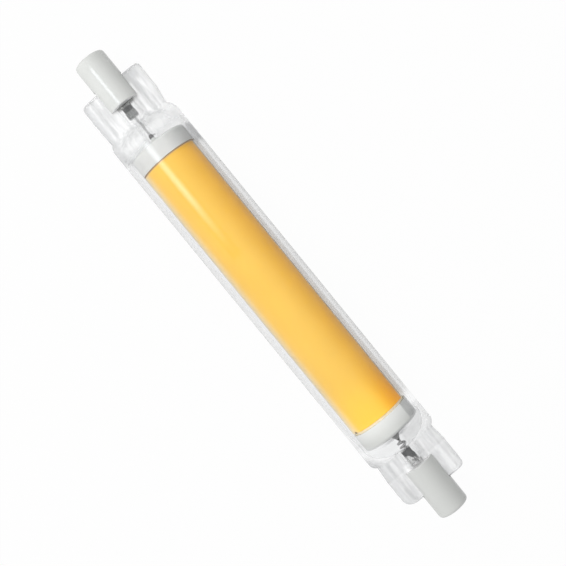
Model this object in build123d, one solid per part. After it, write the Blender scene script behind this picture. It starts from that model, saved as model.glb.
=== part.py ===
from build123d import *

import os
from math import cos, pi, sin, sqrt, tan

# Double-ended linear LED bulb, in millimetres.
# The bulb's axis is X, the flat of the pinched glass ends lies in the XY plane, and the origin is the middle.
# Every end piece is drawn for the right-hand end, at +X, and mirrored for the left.

# Whole bulb
overall_length = 117.6
seat_gap = 0.05          # glue or solder gap between pieces that fit inside one another

# Ceramic end caps with a recessed contact
cap_diameter = 7.0
cap_length = 11.8
cap_bevel = 0.4
cap_wall = 1.2           # round the recess
crown_length = 6.2       # from the wing tips to the cap's outer end
recess_depth = 1.7
contact_step = 0.3       # ledge of the cap seen round the contact
contact_thickness = 0.6
stem_diameter = 1.2
stem_length = 4.0
cement_gap = 0.15        # cement each side of the pinch, inside the cap's slot
cement_recess = 0.15     # from the cap's side to the cement in its slot

# Glass envelope
glass_diameter = 16.0
glass_wall = 1.0
pinch_width = 14.6
pinch_wall = 0.4         # glass over and under the ferrule
pinch_length = 9.5       # flat part, from the shoulder to the wing tips
wing_corner_radius = 1.5
spine_width = 3.8        # thick middle of the pinch, round the ferrule
rim_width = 1.5          # thick edge of each wing
groove_depth = 0.6       # pressed into each face of each wing, between the spine and the rim
groove_bevel = 0.35
shoulder_length = 4.7    # outside, from the round tube to the flat pinch
shoulder_radius = 3.0    # rounding of the shoulder, seen from above
hollow_length = 3.6      # inside, from the round bore to the pinch's channel
shoulder_steps = 4
hollow_steps = 3
corner_sweep = 0.9       # share of the shoulder's rounding that is used before the pinch takes over

# Ferrules and lead wires
ferrule_diameter = 2.4
ferrule_reach_left = 8.4     # from the wing tips to the ferrule's inner end
ferrule_reach_right = 9.3
wire_diameter = 0.5
wire_grip = 3.0          # wire held inside the ferrule
wire_reach = 4.0         # wire lying on the driver board, from the cup's floor
coil_pitch = 0.85
coil_clearance = 0.25    # round the coil, in the pinch's channel
coil_ramp = 0.2          # share of the coil over which it winds out and back in
coil_gap = 0.25          # from the coil to the bead and to the ferrule
coil_sides = 5           # straight lengths in each turn
bead_diameter_left = 1.3
bead_length_left = 2.4
bead_diameter_right = 3.4
bead_length_right = 2.6

# LED core
core_shift = 0.9         # the core sits this far off the middle, towards the right-hand end
core_end_gap = 0.9       # from a centred core's ends to where the glass starts to close
core_clearance = 0.5     # between the cups and the glass
cup_wall = 0.35
cup_length = 3.8
cup_floor = 1.2
cup_bevel = 0.6
tube_wall = 1.0
coat_thickness = 0.35
coat_cup_gap = 0.45
seam_angle = 54.0        # bare strip of the core tube, centred on +Y
chip_length = 2.2
chip_width = 0.6
chip_height = 0.15
chip_rows = 6
chips_per_row = 4
chip_gap = 0.05          # round the chips, in the coat's grooves

# Driver inside the core
board_thickness = 1.0
board_clearance = 0.4    # from the board's edges to the core tube
board_grip = 0.6         # pocket in each cup's floor
board_end_gap = 0.1
rectifier_size = (4.7, 3.9, 2.4)
regulator_size = (4.9, 3.9, 1.5)
resistor_size = (3.2, 1.6, 0.6)
fuse_length = 5.9
fuse_diameter = 2.2
part_chamfer = 0.25
part_gap = 3.0           # along the board, from part to part
feed_pin_width = 0.64
feed_pin_inset = 3.0     # from the coat's ends to the feed pins

# Stations along +X, worked out from the sizes above
half_length = overall_length / 2
cap_inner = half_length - cap_length
contact_face = half_length - recess_depth
contact_seat = contact_face - contact_thickness
pinch_end = half_length - crown_length
slot_floor = pinch_end + cement_gap
shoulder_end = pinch_end - pinch_length
shoulder_start = shoulder_end - shoulder_length
core_end = shoulder_start - core_end_gap
cup_seat = core_end - cup_floor
cup_mouth = core_end - cup_length
coat_end = cup_mouth - coat_cup_gap
board_end = cup_seat + board_grip - board_end_gap
stem_end = contact_seat - stem_length
ferrule_start_left = pinch_end - ferrule_reach_left
ferrule_start_right = pinch_end - ferrule_reach_right
core_end_left = core_end - core_shift
core_end_right = core_end + core_shift
coil_start = core_end_right + bead_length_right + coil_gap
coil_end = ferrule_start_right - coil_gap
feed_pin_station = coat_end - feed_pin_inset

# Radii and sections
glass_radius = glass_diameter / 2
bore_radius = glass_radius - glass_wall
pinch_thickness = ferrule_diameter + 2 * pinch_wall
web_half = pinch_thickness / 2 - groove_depth
groove_width = (pinch_width - spine_width) / 2 - rim_width
groove_offset = (spine_width + groove_width) / 2
cap_radius = cap_diameter / 2
recess_radius = cap_radius - cap_wall
contact_radius = recess_radius - contact_step
ferrule_radius = ferrule_diameter / 2
wire_radius = wire_diameter / 2
coil_radius = ferrule_radius - coil_clearance - wire_radius
stem_radius = stem_diameter / 2
cup_radius = bore_radius - core_clearance
tube_radius = cup_radius - cup_wall - seat_gap
tube_bore_radius = tube_radius - tube_wall
coat_radius = tube_radius + coat_thickness
board_top = -wire_radius
board_bottom = board_top - board_thickness
board_width = 2 * sqrt((tube_bore_radius - board_clearance) ** 2 - board_bottom**2)


def rod(radius, start, end):
    """A round bar along X."""
    return extrude(Plane.YZ.offset(start) * Circle(radius), amount=end - start)


def block(size, centre):
    """A box of that size about a point."""
    return Pos(*centre) * Box(*size)


def turned(*profile):
    """A solid turned about X from (station, radius) points."""
    return revolve(make_face(Polyline(*profile, close=True)), Axis.X)


def rim(solid, station):
    """The outermost circular edge at one station."""
    circles = solid.edges().filter_by(GeomType.CIRCLE)
    return circles.filter_by_position(Axis.X, station - 1e-3, station + 1e-3).sort_by(SortBy.RADIUS)[-1]


def left_of(solid):
    """The same piece at the left-hand end."""
    return mirror(solid, about=Plane.YZ)


# Glass envelope

def closing_loft(length, radius, corner_radius, end_half_height, steps):
    """An oval body that closes from the round tube to the flat pinch, its plan rounded at the corners."""
    sections = []
    round_start = length - corner_radius * corner_sweep
    for step in range(steps + 1):
        share = step / steps
        along = length * share
        into_corner = max(0, along - round_start)
        wide = radius - corner_radius + sqrt(corner_radius**2 - into_corner**2)
        high = end_half_height + (radius - end_half_height) * (1 + cos(pi * share)) / 2
        sections.append(Plane.YZ.offset(shoulder_start + along) * Ellipse(wide, high))
    return loft(sections, ruled=True)


def pinch_blade():
    """The flat pinch: a thick spine and rims, a groove along each face of each wing, rounded wing tips."""
    section = SlotOverall(pinch_width, pinch_thickness)
    groove = Rectangle(groove_width, 2 * groove_depth)
    groove = chamfer(groove.vertices(), groove_bevel)
    for side in (-1, 1):
        for face in (-1, 1):
            section -= Pos(side * groove_offset, face * pinch_thickness / 2) * groove
    root = shoulder_end - shoulder_length / 2
    blade = extrude(Plane.YZ.offset(root) * section, amount=pinch_end - root)
    plan = Pos((root + pinch_end) / 2, 0) * Rectangle(pinch_end - root, pinch_width)
    plan = fillet(plan.vertices().group_by(Axis.X)[-1], wing_corner_radius)
    return blade & extrude(plan, amount=pinch_thickness, both=True)


def envelope_end():
    """Glass of one end and the hollow inside it."""
    glass = closing_loft(shoulder_length, glass_radius, shoulder_radius, web_half, shoulder_steps)
    glass += pinch_blade()
    hollow_radius = shoulder_radius - glass_wall
    hollow = closing_loft(hollow_length, bore_radius, hollow_radius, ferrule_radius / 2, hollow_steps)
    hollow += rod(ferrule_radius, shoulder_start + hollow_length / 2, pinch_end)
    return glass, hollow


def glass_envelope():
    glass, hollow = envelope_end()
    tube = rod(glass_radius, -shoulder_start, shoulder_start)
    bore = rod(bore_radius, -shoulder_start, shoulder_start)
    return (tube + glass + left_of(glass)) - (bore + hollow + left_of(hollow))


# Ceramic caps, their cement and contacts

def cap_slot():
    """The slot in a cap that straddles the pinch, higher over the spine."""
    length = slot_floor - cap_inner
    centre = ((cap_inner + slot_floor) / 2, 0, 0)
    spine_slot = spine_width + 2 * (groove_bevel + cement_gap)
    slot = block((length, cap_diameter, 2 * (web_half + cement_gap)), centre)
    return slot + block((length, spine_slot, pinch_thickness + 2 * cement_gap), centre)


def end_cap():
    cap = rod(cap_radius, cap_inner, half_length)
    cap = chamfer(rim(cap, half_length), cap_bevel)
    cap -= cap_slot()
    cap -= rod(ferrule_radius, slot_floor, contact_seat)
    cap -= rod(contact_radius + seat_gap, contact_seat, contact_face)
    return cap - rod(recess_radius, contact_face, half_length)


def cap_cement():
    fill = rod(cap_radius - cement_recess, cap_inner, slot_floor) & cap_slot()
    return fill - pinch_blade() - rod(ferrule_radius, cap_inner, slot_floor)


def contact_button():
    return turned(
        (stem_end, 0),
        (stem_end, stem_radius),
        (contact_seat, stem_radius),
        (contact_seat, contact_radius),
        (contact_face, contact_radius),
        (contact_face, 0),
    )


# Ferrules, lead wires and beads

def ferrule(start):
    """A sleeve crimped on the lead wire at one end and on the contact's stem at the other."""
    wire_end = start + wire_grip
    return turned(
        (start, wire_radius),
        (start, ferrule_radius),
        (contact_seat, ferrule_radius),
        (contact_seat, stem_radius),
        (stem_end, stem_radius),
        (stem_end, 0),
        (wire_end, 0),
        (wire_end, wire_radius),
    )


def straight_lead_wire():
    return rod(wire_radius, core_end_left - cup_floor - wire_reach, ferrule_start_left + wire_grip)


def coil_point(share, turns):
    """A point of the coil, which winds out from the axis and back in to it."""
    ramp = min(1, share / coil_ramp, (1 - share) / coil_ramp)
    radius = coil_radius * ramp * ramp * (3 - 2 * ramp)
    angle = 2 * pi * turns * share
    return (coil_start + (coil_end - coil_start) * share, radius * cos(angle), radius * sin(angle))


def coiled_lead_wire():
    wire_start = core_end_right - cup_floor - wire_reach
    wire_end = ferrule_start_right + wire_grip
    turns = max(1, int((coil_end - coil_start) / coil_pitch))
    steps = turns * coil_sides
    points = [coil_point(step / steps, turns) for step in range(steps + 1)]
    path = Polyline((wire_start, 0, 0), *points, (wire_end, 0, 0))
    section = Plane.YZ.offset(wire_start) * Circle(wire_radius)
    return sweep(section, path=path, transition=Transition.RIGHT)


def solder_bead(station, diameter, length):
    """A cone of solder where the wire leaves the core."""
    return turned((station, wire_radius), (station, diameter / 2), (station + length, wire_radius))


# LED core, drawn about the origin and moved to its place in the glass when it is written

def feed_pin():
    """A square pin from the board's underside to the inside of the tube, where the chip circuit starts."""
    pin = Pos(feed_pin_station, 0, board_bottom) * Box(
        feed_pin_width, feed_pin_width, tube_radius, align=(Align.CENTER, Align.CENTER, Align.MAX)
    )
    return pin & rod(tube_bore_radius, 0, coat_end)


def core_tube():
    return rod(tube_radius, -cup_seat, cup_seat) - rod(tube_bore_radius, -cup_seat, cup_seat)


def core_cup():
    """A cup over the end of the core tube, with a pocket in its floor that holds the driver board."""
    cup = rod(cup_radius, cup_mouth, core_end)
    cup = chamfer(rim(cup, core_end), cup_bevel)
    cup -= rod(tube_radius + seat_gap, cup_mouth, cup_seat)
    pocket_size = (board_grip, board_width + 2 * seat_gap, board_thickness + 2 * seat_gap)
    cup -= block(pocket_size, (cup_seat + board_grip / 2, 0, (board_top + board_bottom) / 2))
    return cup - rod(wire_radius + seat_gap, cup_seat, core_end)


def row_angles():
    """The angle of every row of chips, from +Y, spread over the coated part of the tube."""
    covered = 360 - seam_angle
    return [seam_angle / 2 + covered * (row + 0.5) / chip_rows for row in range(chip_rows)]


def led_chips():
    """Rows of chips lying on the core tube."""
    chip = Pos(Y=tube_radius) * Box(
        chip_length, chip_height, chip_width, align=(Align.CENTER, Align.MIN, Align.CENTER)
    )
    pitch = 2 * coat_end / chips_per_row
    stations = [-coat_end + pitch * (column + 0.5) for column in range(chips_per_row)]
    return Compound(children=[Rot(X=angle) * Pos(X=x) * chip for angle in row_angles() for x in stations])


def phosphor_coat():
    """The yellow coat, open along the seam, with a groove over every row of chips."""
    ring = Circle(coat_radius) - Circle(tube_radius)
    reach = 2 * coat_radius
    spread = reach * tan(seam_angle / 2 * pi / 180)
    wedge = make_face(Polyline((0, 0), (reach, -spread), (reach, spread), close=True))
    section = ring - wedge
    groove = Pos(X=tube_radius) * Rectangle(2 * (chip_height + chip_gap), chip_width + 2 * chip_gap)
    for angle in row_angles():
        section -= Rot(Z=angle) * groove
    return extrude(Plane.YZ.offset(-coat_end) * section, amount=2 * coat_end)


# Driver inside the core

def driver_board():
    size = (2 * board_end, board_width, board_thickness)
    return block(size, (0, 0, (board_top + board_bottom) / 2))


def part_stations():
    """Where each part stands along the board, in one row with equal gaps."""
    lengths = [rectifier_size[0], regulator_size[0], regulator_size[0]]
    lengths += [resistor_size[0], resistor_size[0], fuse_length]
    edge = -(sum(lengths) + part_gap * (len(lengths) - 1)) / 2
    stations = []
    for length in lengths:
        stations.append(edge + length / 2)
        edge += length + part_gap
    return stations


def board_part(size, station):
    """A moulded part on the board's top face, with its top edges bevelled."""
    part = Pos(station, 0, board_top) * Box(*size, align=(Align.CENTER, Align.CENTER, Align.MIN))
    return chamfer(part.faces().sort_by(Axis.Z)[-1].edges(), part_chamfer)


def bridge_rectifier():
    return board_part(rectifier_size, part_stations()[0])


def current_regulators():
    return Compound(children=[board_part(regulator_size, station) for station in part_stations()[1:3]])


def chip_resistors():
    """Two pairs, side by side."""
    height = board_top + resistor_size[2] / 2
    resistors = []
    for station in part_stations()[3:5]:
        for offset in (-board_width / 4, board_width / 4):
            resistors.append(block(resistor_size, (station, offset, height)))
    return Compound(children=resistors)


def fuse_resistor():
    """A tubular fuse lying on the board."""
    radius = fuse_diameter / 2
    return Pos(part_stations()[5], 0, board_top + radius) * rod(radius, -fuse_length / 2, fuse_length / 2)


def write(name, solid):
    export_step(solid, os.path.join("parts", name + ".step"))


def write_pair(name, solid):
    write(name + "_right", solid)
    write(name + "_left", left_of(solid))


def write_on_core(name, solid):
    write(name, Pos(X=core_shift) * solid)


def write_pair_on_core(name, solid):
    write_on_core(name + "_right", solid)
    write_on_core(name + "_left", left_of(solid))


def main():
    os.makedirs("parts", exist_ok=True)
    write("glass_envelope", glass_envelope())
    write_pair("end_cap", end_cap())
    write_pair("cap_cement", cap_cement())
    write_pair("contact_button", contact_button())
    write("ferrule_right", ferrule(ferrule_start_right))
    write("ferrule_left", left_of(ferrule(ferrule_start_left)))
    write("lead_wire_right", coiled_lead_wire())
    write("lead_wire_left", left_of(straight_lead_wire()))
    write("solder_bead_right", solder_bead(core_end_right, bead_diameter_right, bead_length_right))
    write("solder_bead_left", left_of(solder_bead(core_end_left, bead_diameter_left, bead_length_left)))
    write_pair_on_core("core_cup", core_cup())
    write_on_core("core_tube", core_tube())
    write_on_core("phosphor_coat", phosphor_coat())
    write_on_core("led_chips", led_chips())
    write_on_core("driver_board", driver_board())
    write_on_core("bridge_rectifier", bridge_rectifier())
    write_on_core("current_regulators", current_regulators())
    write_on_core("chip_resistors", chip_resistors())
    write_on_core("fuse_resistor", fuse_resistor())
    write_pair_on_core("feed_pin", feed_pin())


main()
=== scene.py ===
import math

import bmesh
import bpy
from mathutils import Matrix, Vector, noise


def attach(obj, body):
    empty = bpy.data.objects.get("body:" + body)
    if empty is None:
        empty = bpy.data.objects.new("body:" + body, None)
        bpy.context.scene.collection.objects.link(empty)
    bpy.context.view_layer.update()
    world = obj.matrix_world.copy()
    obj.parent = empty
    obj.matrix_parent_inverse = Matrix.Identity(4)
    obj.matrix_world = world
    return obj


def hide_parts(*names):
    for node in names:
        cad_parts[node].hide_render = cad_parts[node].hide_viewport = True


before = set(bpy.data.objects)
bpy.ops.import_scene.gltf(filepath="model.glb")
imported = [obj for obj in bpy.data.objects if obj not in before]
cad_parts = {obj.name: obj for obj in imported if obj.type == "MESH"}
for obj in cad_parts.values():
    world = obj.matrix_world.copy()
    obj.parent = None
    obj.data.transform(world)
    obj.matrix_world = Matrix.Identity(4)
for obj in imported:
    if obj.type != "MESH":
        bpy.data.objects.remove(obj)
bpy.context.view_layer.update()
print("frame loaded,", len(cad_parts), "nodes")

mm = 0.001  # sizes below are in millimetres, meshes in metres
ends = {"left": -1, "right": 1}  # which way each end points along X
coreShift = 0.9  # the core sits this far off the middle, towards +X


# small tools

def blend(a, b, share):
    return a + (b - a) * share


def ease(low, high, value):
    share = min(1, max(0, (value - low) / (high - low)))
    return share * share * (3 - 2 * share)


def spread(start, stop, count):
    # places from start to stop in that many even steps
    return [start + (stop - start) * step / count for step in range(count + 1)]


def stitch(rows, count, first=0):
    # quads between rings of that many points
    faces = []
    for row in range(rows - 1):
        low, high = first + row * count, first + (row + 1) * count
        for k in range(count):
            j = (k + 1) % count
            faces.append((low + k, low + j, high + j, high + k))
    return faces


def addPiece(name, points, faces):
    mesh = bpy.data.meshes.new(name)
    mesh.from_pydata([Vector(point) * mm for point in points], [], faces)
    mesh.update()
    mesh.polygons.foreach_set("use_smooth", [True] * len(mesh.polygons))
    piece = bpy.data.objects.new(name, mesh)
    bpy.context.scene.collection.objects.link(piece)
    return piece


def dress(piece, finish, slotName, *nodes):
    piece.data.materials.clear()
    piece.data.materials.append(finish)
    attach(piece, "root")
    if nodes:
        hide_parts(*nodes)


def softProfile(corners, steps=5):
    # (station, radius, rounding) corners become a line with rounded corners
    line = []
    count = len(corners)
    for index, (x, r, rounding) in enumerate(corners):
        here = Vector((x, r))
        if rounding == 0:
            line.append(here)
            continue
        before = Vector(corners[index - 1][:2]) - here
        after = Vector(corners[(index + 1) % count][:2]) - here
        start = here + before.normalized() * min(rounding, before.length * 0.49)
        stop = here + after.normalized() * min(rounding, after.length * 0.49)
        for step in range(steps + 1):
            share = step / steps
            line.append(start * (1 - share) ** 2 + here * 2 * share * (1 - share) + stop * share**2)
    return line


def turnedPiece(name, line, around=96, sign=1, ruffle=None, shift=0):
    # turns a closed line of (station, radius) about X; a radius of 0 is one point on the axis
    points, rings = [], []
    for x, r in line:
        if r < 1e-6:
            rings.append([len(points)])
            points.append((sign * x + shift, 0, 0))
            continue
        ring = []
        for k in range(around):
            angle = 2 * math.pi * k / around
            lift = ruffle(x, angle) if ruffle else 0
            ring.append(len(points))
            points.append((sign * x + shift, (r + lift) * math.cos(angle), (r + lift) * math.sin(angle)))
        rings.append(ring)
    faces = []
    for one, two in zip(rings, rings[1:] + rings[:1]):
        if len(one) == 1 and len(two) == 1:
            continue
        for k in range(around):
            j = (k + 1) % around
            if len(one) == 1:
                face = (one[0], two[k], two[j])
            elif len(two) == 1:
                face = (one[k], two[0], one[j])
            else:
                face = (one[k], two[k], two[j], one[j])
            faces.append(face)
    piece = addPiece(name, points, faces)
    outward(piece)
    return piece


def outward(piece):
    work = bmesh.new()
    work.from_mesh(piece.data)
    bmesh.ops.recalc_face_normals(work, faces=work.faces)
    work.to_mesh(piece.data)
    work.free()


def barAlong(name, path, radius, sides):
    # a round bar along a path, closed at both ends
    points = []
    across = Vector((0, 0, 1))
    for index, here in enumerate(path):
        ahead = (path[min(index + 1, len(path) - 1)] - path[max(index - 1, 0)]).normalized()
        across = (across - ahead * across.dot(ahead)).normalized()
        beside = ahead.cross(across)
        for k in range(sides):
            angle = 2 * math.pi * k / sides
            points.append(here + (across * math.cos(angle) + beside * math.sin(angle)) * radius)
    faces = stitch(len(path), sides)
    faces.append(tuple(reversed(range(sides))))
    faces.append(tuple(range(len(points) - sides, len(points))))
    piece = addPiece(name, points, faces)
    outward(piece)
    return piece


def settle(piece):
    # applies the piece's modifiers to its mesh
    graph = bpy.context.evaluated_depsgraph_get()
    mesh = bpy.data.meshes.new_from_object(piece.evaluated_get(graph))
    piece.modifiers.clear()
    piece.data = mesh


def startFinish(name, sockets):
    finish = bpy.data.materials.new(name)
    finish.use_nodes = True
    for socket, value in sockets.items():
        finish.node_tree.nodes["Principled BSDF"].inputs[socket].default_value = value
    return finish


def addNode(finish, kind, inputs=None, **settings):
    node = finish.node_tree.nodes.new(kind)
    for name, value in settings.items():
        setattr(node, name, value)
    for name, value in (inputs or {}).items():
        if isinstance(value, bpy.types.NodeSocket):
            finish.node_tree.links.new(value, node.inputs[name])
        else:
            node.inputs[name].default_value = value
    return node


def wire(finish, output, socket):
    finish.node_tree.links.new(output, finish.node_tree.nodes["Principled BSDF"].inputs[socket])


def place(finish, stretch=(1, 1, 1)):
    where = addNode(finish, "ShaderNodeTexCoord").outputs["Object"]
    if stretch == (1, 1, 1):
        return where
    return addNode(finish, "ShaderNodeMapping", {"Vector": where, "Scale": stretch}).outputs["Vector"]


def grain(finish, size, detail=3, stretch=(1, 1, 1)):
    # noise with features of about that many millimetres
    inputs = {"Vector": place(finish, stretch), "Scale": 1 / (size * mm), "Detail": detail}
    return addNode(finish, "ShaderNodeTexNoise", inputs).outputs["Fac"]


def ramp(finish, value, low, high, start=0.3, stop=0.7):
    # a number between two values, or a colour between two colours
    if isinstance(low, tuple):
        node = addNode(finish, "ShaderNodeValToRGB", {"Fac": value})
        for element, colour, position in zip(node.color_ramp.elements, (low, high), (start, stop)):
            element.color = (*colour, 1)
            element.position = position
        return node.outputs["Color"]
    inputs = {"Value": value, "From Min": start, "From Max": stop, "To Min": low, "To Max": high}
    return addNode(finish, "ShaderNodeMapRange", inputs).outputs["Result"]


def fade(finish, share, low, high):
    # the low value where the share is 0, the high one where it is 1
    return ramp(finish, share, low, high, 0, 1)


def maths(finish, operation, one, two):
    return addNode(finish, "ShaderNodeMath", {0: one, 1: two}, operation=operation).outputs[0]


def times(finish, one, two):
    return maths(finish, "MULTIPLY", one, two)


def plus(finish, one, two):
    return maths(finish, "ADD", one, two)


def axisPlace(finish, axis, bothWays=False):
    # the place on that axis, or how far it is from the middle
    where = addNode(finish, "ShaderNodeSeparateXYZ", {"Vector": place(finish)}).outputs[axis]
    if bothWays:
        where = addNode(finish, "ShaderNodeMath", {0: where}, operation="ABSOLUTE").outputs[0]
    return where


def softStep(finish, where, low, high):
    inputs = {"Value": where, "From Min": low * mm, "From Max": high * mm}
    return addNode(finish, "ShaderNodeMapRange", inputs, interpolation_type="SMOOTHSTEP").outputs["Result"]


def stretchOf(finish, axis, low, high, bothWays=False):
    # 0 up to the low place on that axis, 1 from the high place on
    return softStep(finish, axisPlace(finish, axis, bothWays), low, high)


def bowedStretch(finish, low, high, bow):
    # like stretchOf along X, but reached sooner towards the sides
    y = axisPlace(finish, "Y")
    sideways = times(finish, times(finish, y, y), bow / mm)
    return softStep(finish, plus(finish, axisPlace(finish, "X"), sideways), low, high)


def rightHalf(finish):
    return stretchOf(finish, "X", -5, 5)


def spotAt(finish, centre, radius, soft):
    # 1 within that many millimetres of a point, fading to 0
    inputs = {0: place(finish), 1: tuple(value * mm for value in centre)}
    away = addNode(finish, "ShaderNodeVectorMath", inputs, operation="DISTANCE").outputs["Value"]
    return ramp(finish, away, 1.0, 0.0, radius * mm, (radius + soft) * mm)


def tint(finish, share, low, high):
    # one colour where the share is 0, the other where it is 1
    low, high = [(*colour, 1) if isinstance(colour, tuple) else colour for colour in (low, high)]
    return addNode(finish, "ShaderNodeMix", {"Factor": share, 6: low, 7: high}, data_type="RGBA").outputs[2]


def roughen(finish, height, strength, depth):
    inputs = {"Height": height, "Strength": strength, "Distance": depth * mm}
    wire(finish, addNode(finish, "ShaderNodeBump", inputs).outputs["Normal"], "Normal")


# clear glass tube, pinched flat at both ends; its front is the -Y side, its back the +Y side

glass = {
    "around": 224,
    "radius": 8.0,
    "bore": 7.0,
    "shoulderStart": 38.4,
    "shoulderEnd": 43.1,
    "shoulderRound": {"left": (3.0, 2.4), "right": (1.6, 1.6)},  # seen from above, back and front
    "bulgeStart": {"left": (39.7, 40.5), "right": (41.2, 41.2)},
    "halfWide": 7.3,
    "wider": {"left": 0.15, "right": 0.05},
    "halfThick": 1.6,
    "wingWaist": {"left": (0.55, 0.12), "right": (0.35, 0.35)},  # narrower next to the shoulder
    "waistZone": (42, 47),
    "wingCorner": {"left": (0.9, 1.1), "right": (1.1, 2.2)},  # rounding of the tips, back and front
    "wingWaver": 0.07,
    "spineHalf": 1.9,  # thick middle round the ferrule
    "rimWidth": 1.6,  # thick edge of each wing
    "grooveDepth": 0.5,  # pressed between them, with soft sides
    "grooveSoft": 1.2,
    "tip": {"left": 52.15, "right": 53.1},
    "tipLean": {"left": 0.2, "right": 0.05},  # the tips stand a little askew
    "leanZone": (46, 52),
    "nose": 0.5,  # rounding of the wing tips, seen from the side
    "noseLeft": 0.35,
    "noseSpine": (1.9, 3.1),  # the spine isn't rounded
    "hollowEnd": {"left": 42.8, "right": 43.1},
    "wireChannel": 0.4,
    "channel": 1.0,  # the glass is shrunk onto the ferrule
    "neck": 0.2,  # from one channel to the other
    "crinkle": 0.06,
    "crinkleZone": (41.2, 45.5),
    "crinkleWing": (1.6, 2.8),
    "tipCrinkle": 0.045,
    "tipCrinkleZone": (48.5, 52),
    "tipCrinkleWing": (3.2, 4.5),
    "seed": {"left": 11.3, "right": 47.9},
    "steps": {"outer": 96, "nose": 8, "hollow": 40, "neck": 4},
}
ferrule = {  # set here because the glass follows it
    "radius": 1.2,
    "start": {"left": 43.7, "right": 43.2},
    "bareEnd": 48.0,  # the cap hides the rest
    "end": 56.5,
    "stem": 0.61,
    "stemEnd": 52.5,
    "hole": 0.26,
    "holeEnd": {"left": 47.2, "right": 46.3},
    "nose": {"left": 0.45, "right": 0.2},
    "crimp": {"left": (45.35, 46.4), "right": (43.2, 44.45)},
    "crimpDepth": 0.12,
    "crimpSoft": 0.12,
    "ruffle": {"left": 0.02, "right": 0.085},
    "askew": {"left": -0.14, "right": -0.3},  # sideways at the inner end
    "shades": {
        "left": ((0.24, 0.25, 0.25), (0.4, 0.41, 0.4)),
        "right": ((0.08, 0.08, 0.08), (0.97, 0.97, 0.96)),
    },
    "dark": (0.03, 0.032, 0.035),
    "darkSoft": 0.1,
    "lean": {"left": 0.0, "right": 0.15},  # painted light towards the front, painted shade at the back
    "darkReach": {"left": 0.0, "right": 0.9},  # the dark band reaches this much further at the back
}


def askewAt(along, end):
    start, stop = ferrule["start"][end], ferrule["stemEnd"]
    return ferrule["askew"][end] * min(1, max(0, (stop - along) / (stop - start)))


def groove(y):
    inside = min(abs(y) - glass["spineHalf"], glass["halfWide"] - glass["rimWidth"] - abs(y))
    return glass["grooveDepth"] * ease(0, glass["grooveSoft"], inside)


def bladePoint(angle):
    # the flat pinch's outline: round edges and a groove along each face of each wing
    edge = glass["halfThick"]
    flat = glass["halfWide"] - edge
    turn = math.atan2(abs(math.sin(angle)), abs(math.cos(angle))) / (math.pi / 2)
    run = turn * (flat + edge * math.pi / 2)
    if run < edge * math.pi / 2:
        y, z = flat + edge * math.cos(run / edge), edge * math.sin(run / edge)
    else:
        y = flat - (run - edge * math.pi / 2)
        z = edge - groove(y)
    return math.copysign(y, math.cos(angle)), math.copysign(z, math.sin(angle))


def halfWidthAt(along, end, side):
    # the glass seen from above: tube, rounded shoulder, a sharp inner corner, then the wing
    flank = 0 if side > 0 else 1
    into = along - glass["bulgeStart"][end][flank]
    bend = glass["shoulderRound"][end][flank]
    shoulder = glass["radius"] - bend + math.sqrt(max(0, bend**2 - max(0, into) ** 2))
    waist = glass["wingWaist"][end][flank] * (1 - ease(*glass["waistZone"], along))
    wing = glass["halfWide"] + glass["wider"][end] - waist
    wing += glass["wingWaver"] * noise.noise((along * 0.7, glass["seed"][end], side * 5))
    corner = glass["wingCorner"][end][flank]
    past = along - (glass["tip"][end] - corner)
    if past > 0:
        wing -= corner - math.sqrt(max(0, corner**2 - past**2))
    return max(shoulder if into < bend else 0, wing)


def crinkleAt(x, y, z, end):
    along, seed = abs(x), glass["seed"][end]
    strong = ease(*glass["crinkleZone"], along) * blend(0.3, 1, ease(*glass["crinkleWing"], abs(y)))
    atTip = ease(*glass["tipCrinkleZone"], along) * ease(*glass["tipCrinkleWing"], abs(y))
    streak = noise.noise((x * 0.16 + seed, y * 1.25, z * 0.9))
    lump = noise.noise((x * 0.9 - seed, y * 1.1, z * 0.9 + seed))
    fine = noise.noise((x * 2.3 + seed, y * 2.1, z * 2 + seed))
    return glass["crinkle"] * strong * (0.8 * streak + 0.5 * lump) + glass["tipCrinkle"] * atTip * fine


def outerSection(x):
    end = "left" if x < 0 else "right"
    along = abs(x)
    press = ease(glass["shoulderStart"], glass["shoulderEnd"], along)
    past = max(0, along - (glass["tip"][end] - glass["nose"])) / glass["nose"]
    closing = max(glass["noseLeft"], math.sqrt(max(0, 1 - past**2)))
    lean = math.copysign(glass["tipLean"][end] * ease(*glass["leanZone"], along), x)
    section = []
    for k in range(glass["around"]):
        angle = 2 * math.pi * k / glass["around"]
        bladeY, bladeZ = bladePoint(angle)
        half = halfWidthAt(along, end, math.copysign(1, math.cos(angle)))
        y = half * blend(math.cos(angle), bladeY / glass["halfWide"], press)
        z = blend(glass["radius"] * math.sin(angle), bladeZ, press)
        z *= blend(1, closing, ease(*glass["noseSpine"], abs(y)))
        section.append(Vector((x + lean * y / glass["halfWide"], y, z)))
    if press == 0:
        return section
    shaped = []
    for k, point in enumerate(section):
        beside = section[(k + 1) % len(section)] - section[k - 1]
        outwards = Vector((0, beside.z, -beside.y)).normalized()
        shaped.append(point + outwards * crinkleAt(*point, end))
    return shaped


def innerSection(x):
    end = "left" if x < 0 else "right"
    into = (abs(x) - glass["shoulderStart"]) / (glass["hollowEnd"][end] - glass["shoulderStart"])
    into = min(1, max(0, into))
    start = ferrule["start"][end]
    narrow = blend(glass["wireChannel"], glass["channel"], ease(start, start + glass["neck"], abs(x)))
    wide = blend(narrow, glass["bore"], math.sqrt(1 - into**2))
    high = blend(narrow, glass["bore"], (1 + math.cos(math.pi * into)) / 2)
    aside = askewAt(abs(x), end) * ease(0.8, 1, into)
    turns = [2 * math.pi * k / glass["around"] for k in range(glass["around"])]
    return [Vector((x, aside + wide * math.cos(turn), high * math.sin(turn))) for turn in turns]


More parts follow.
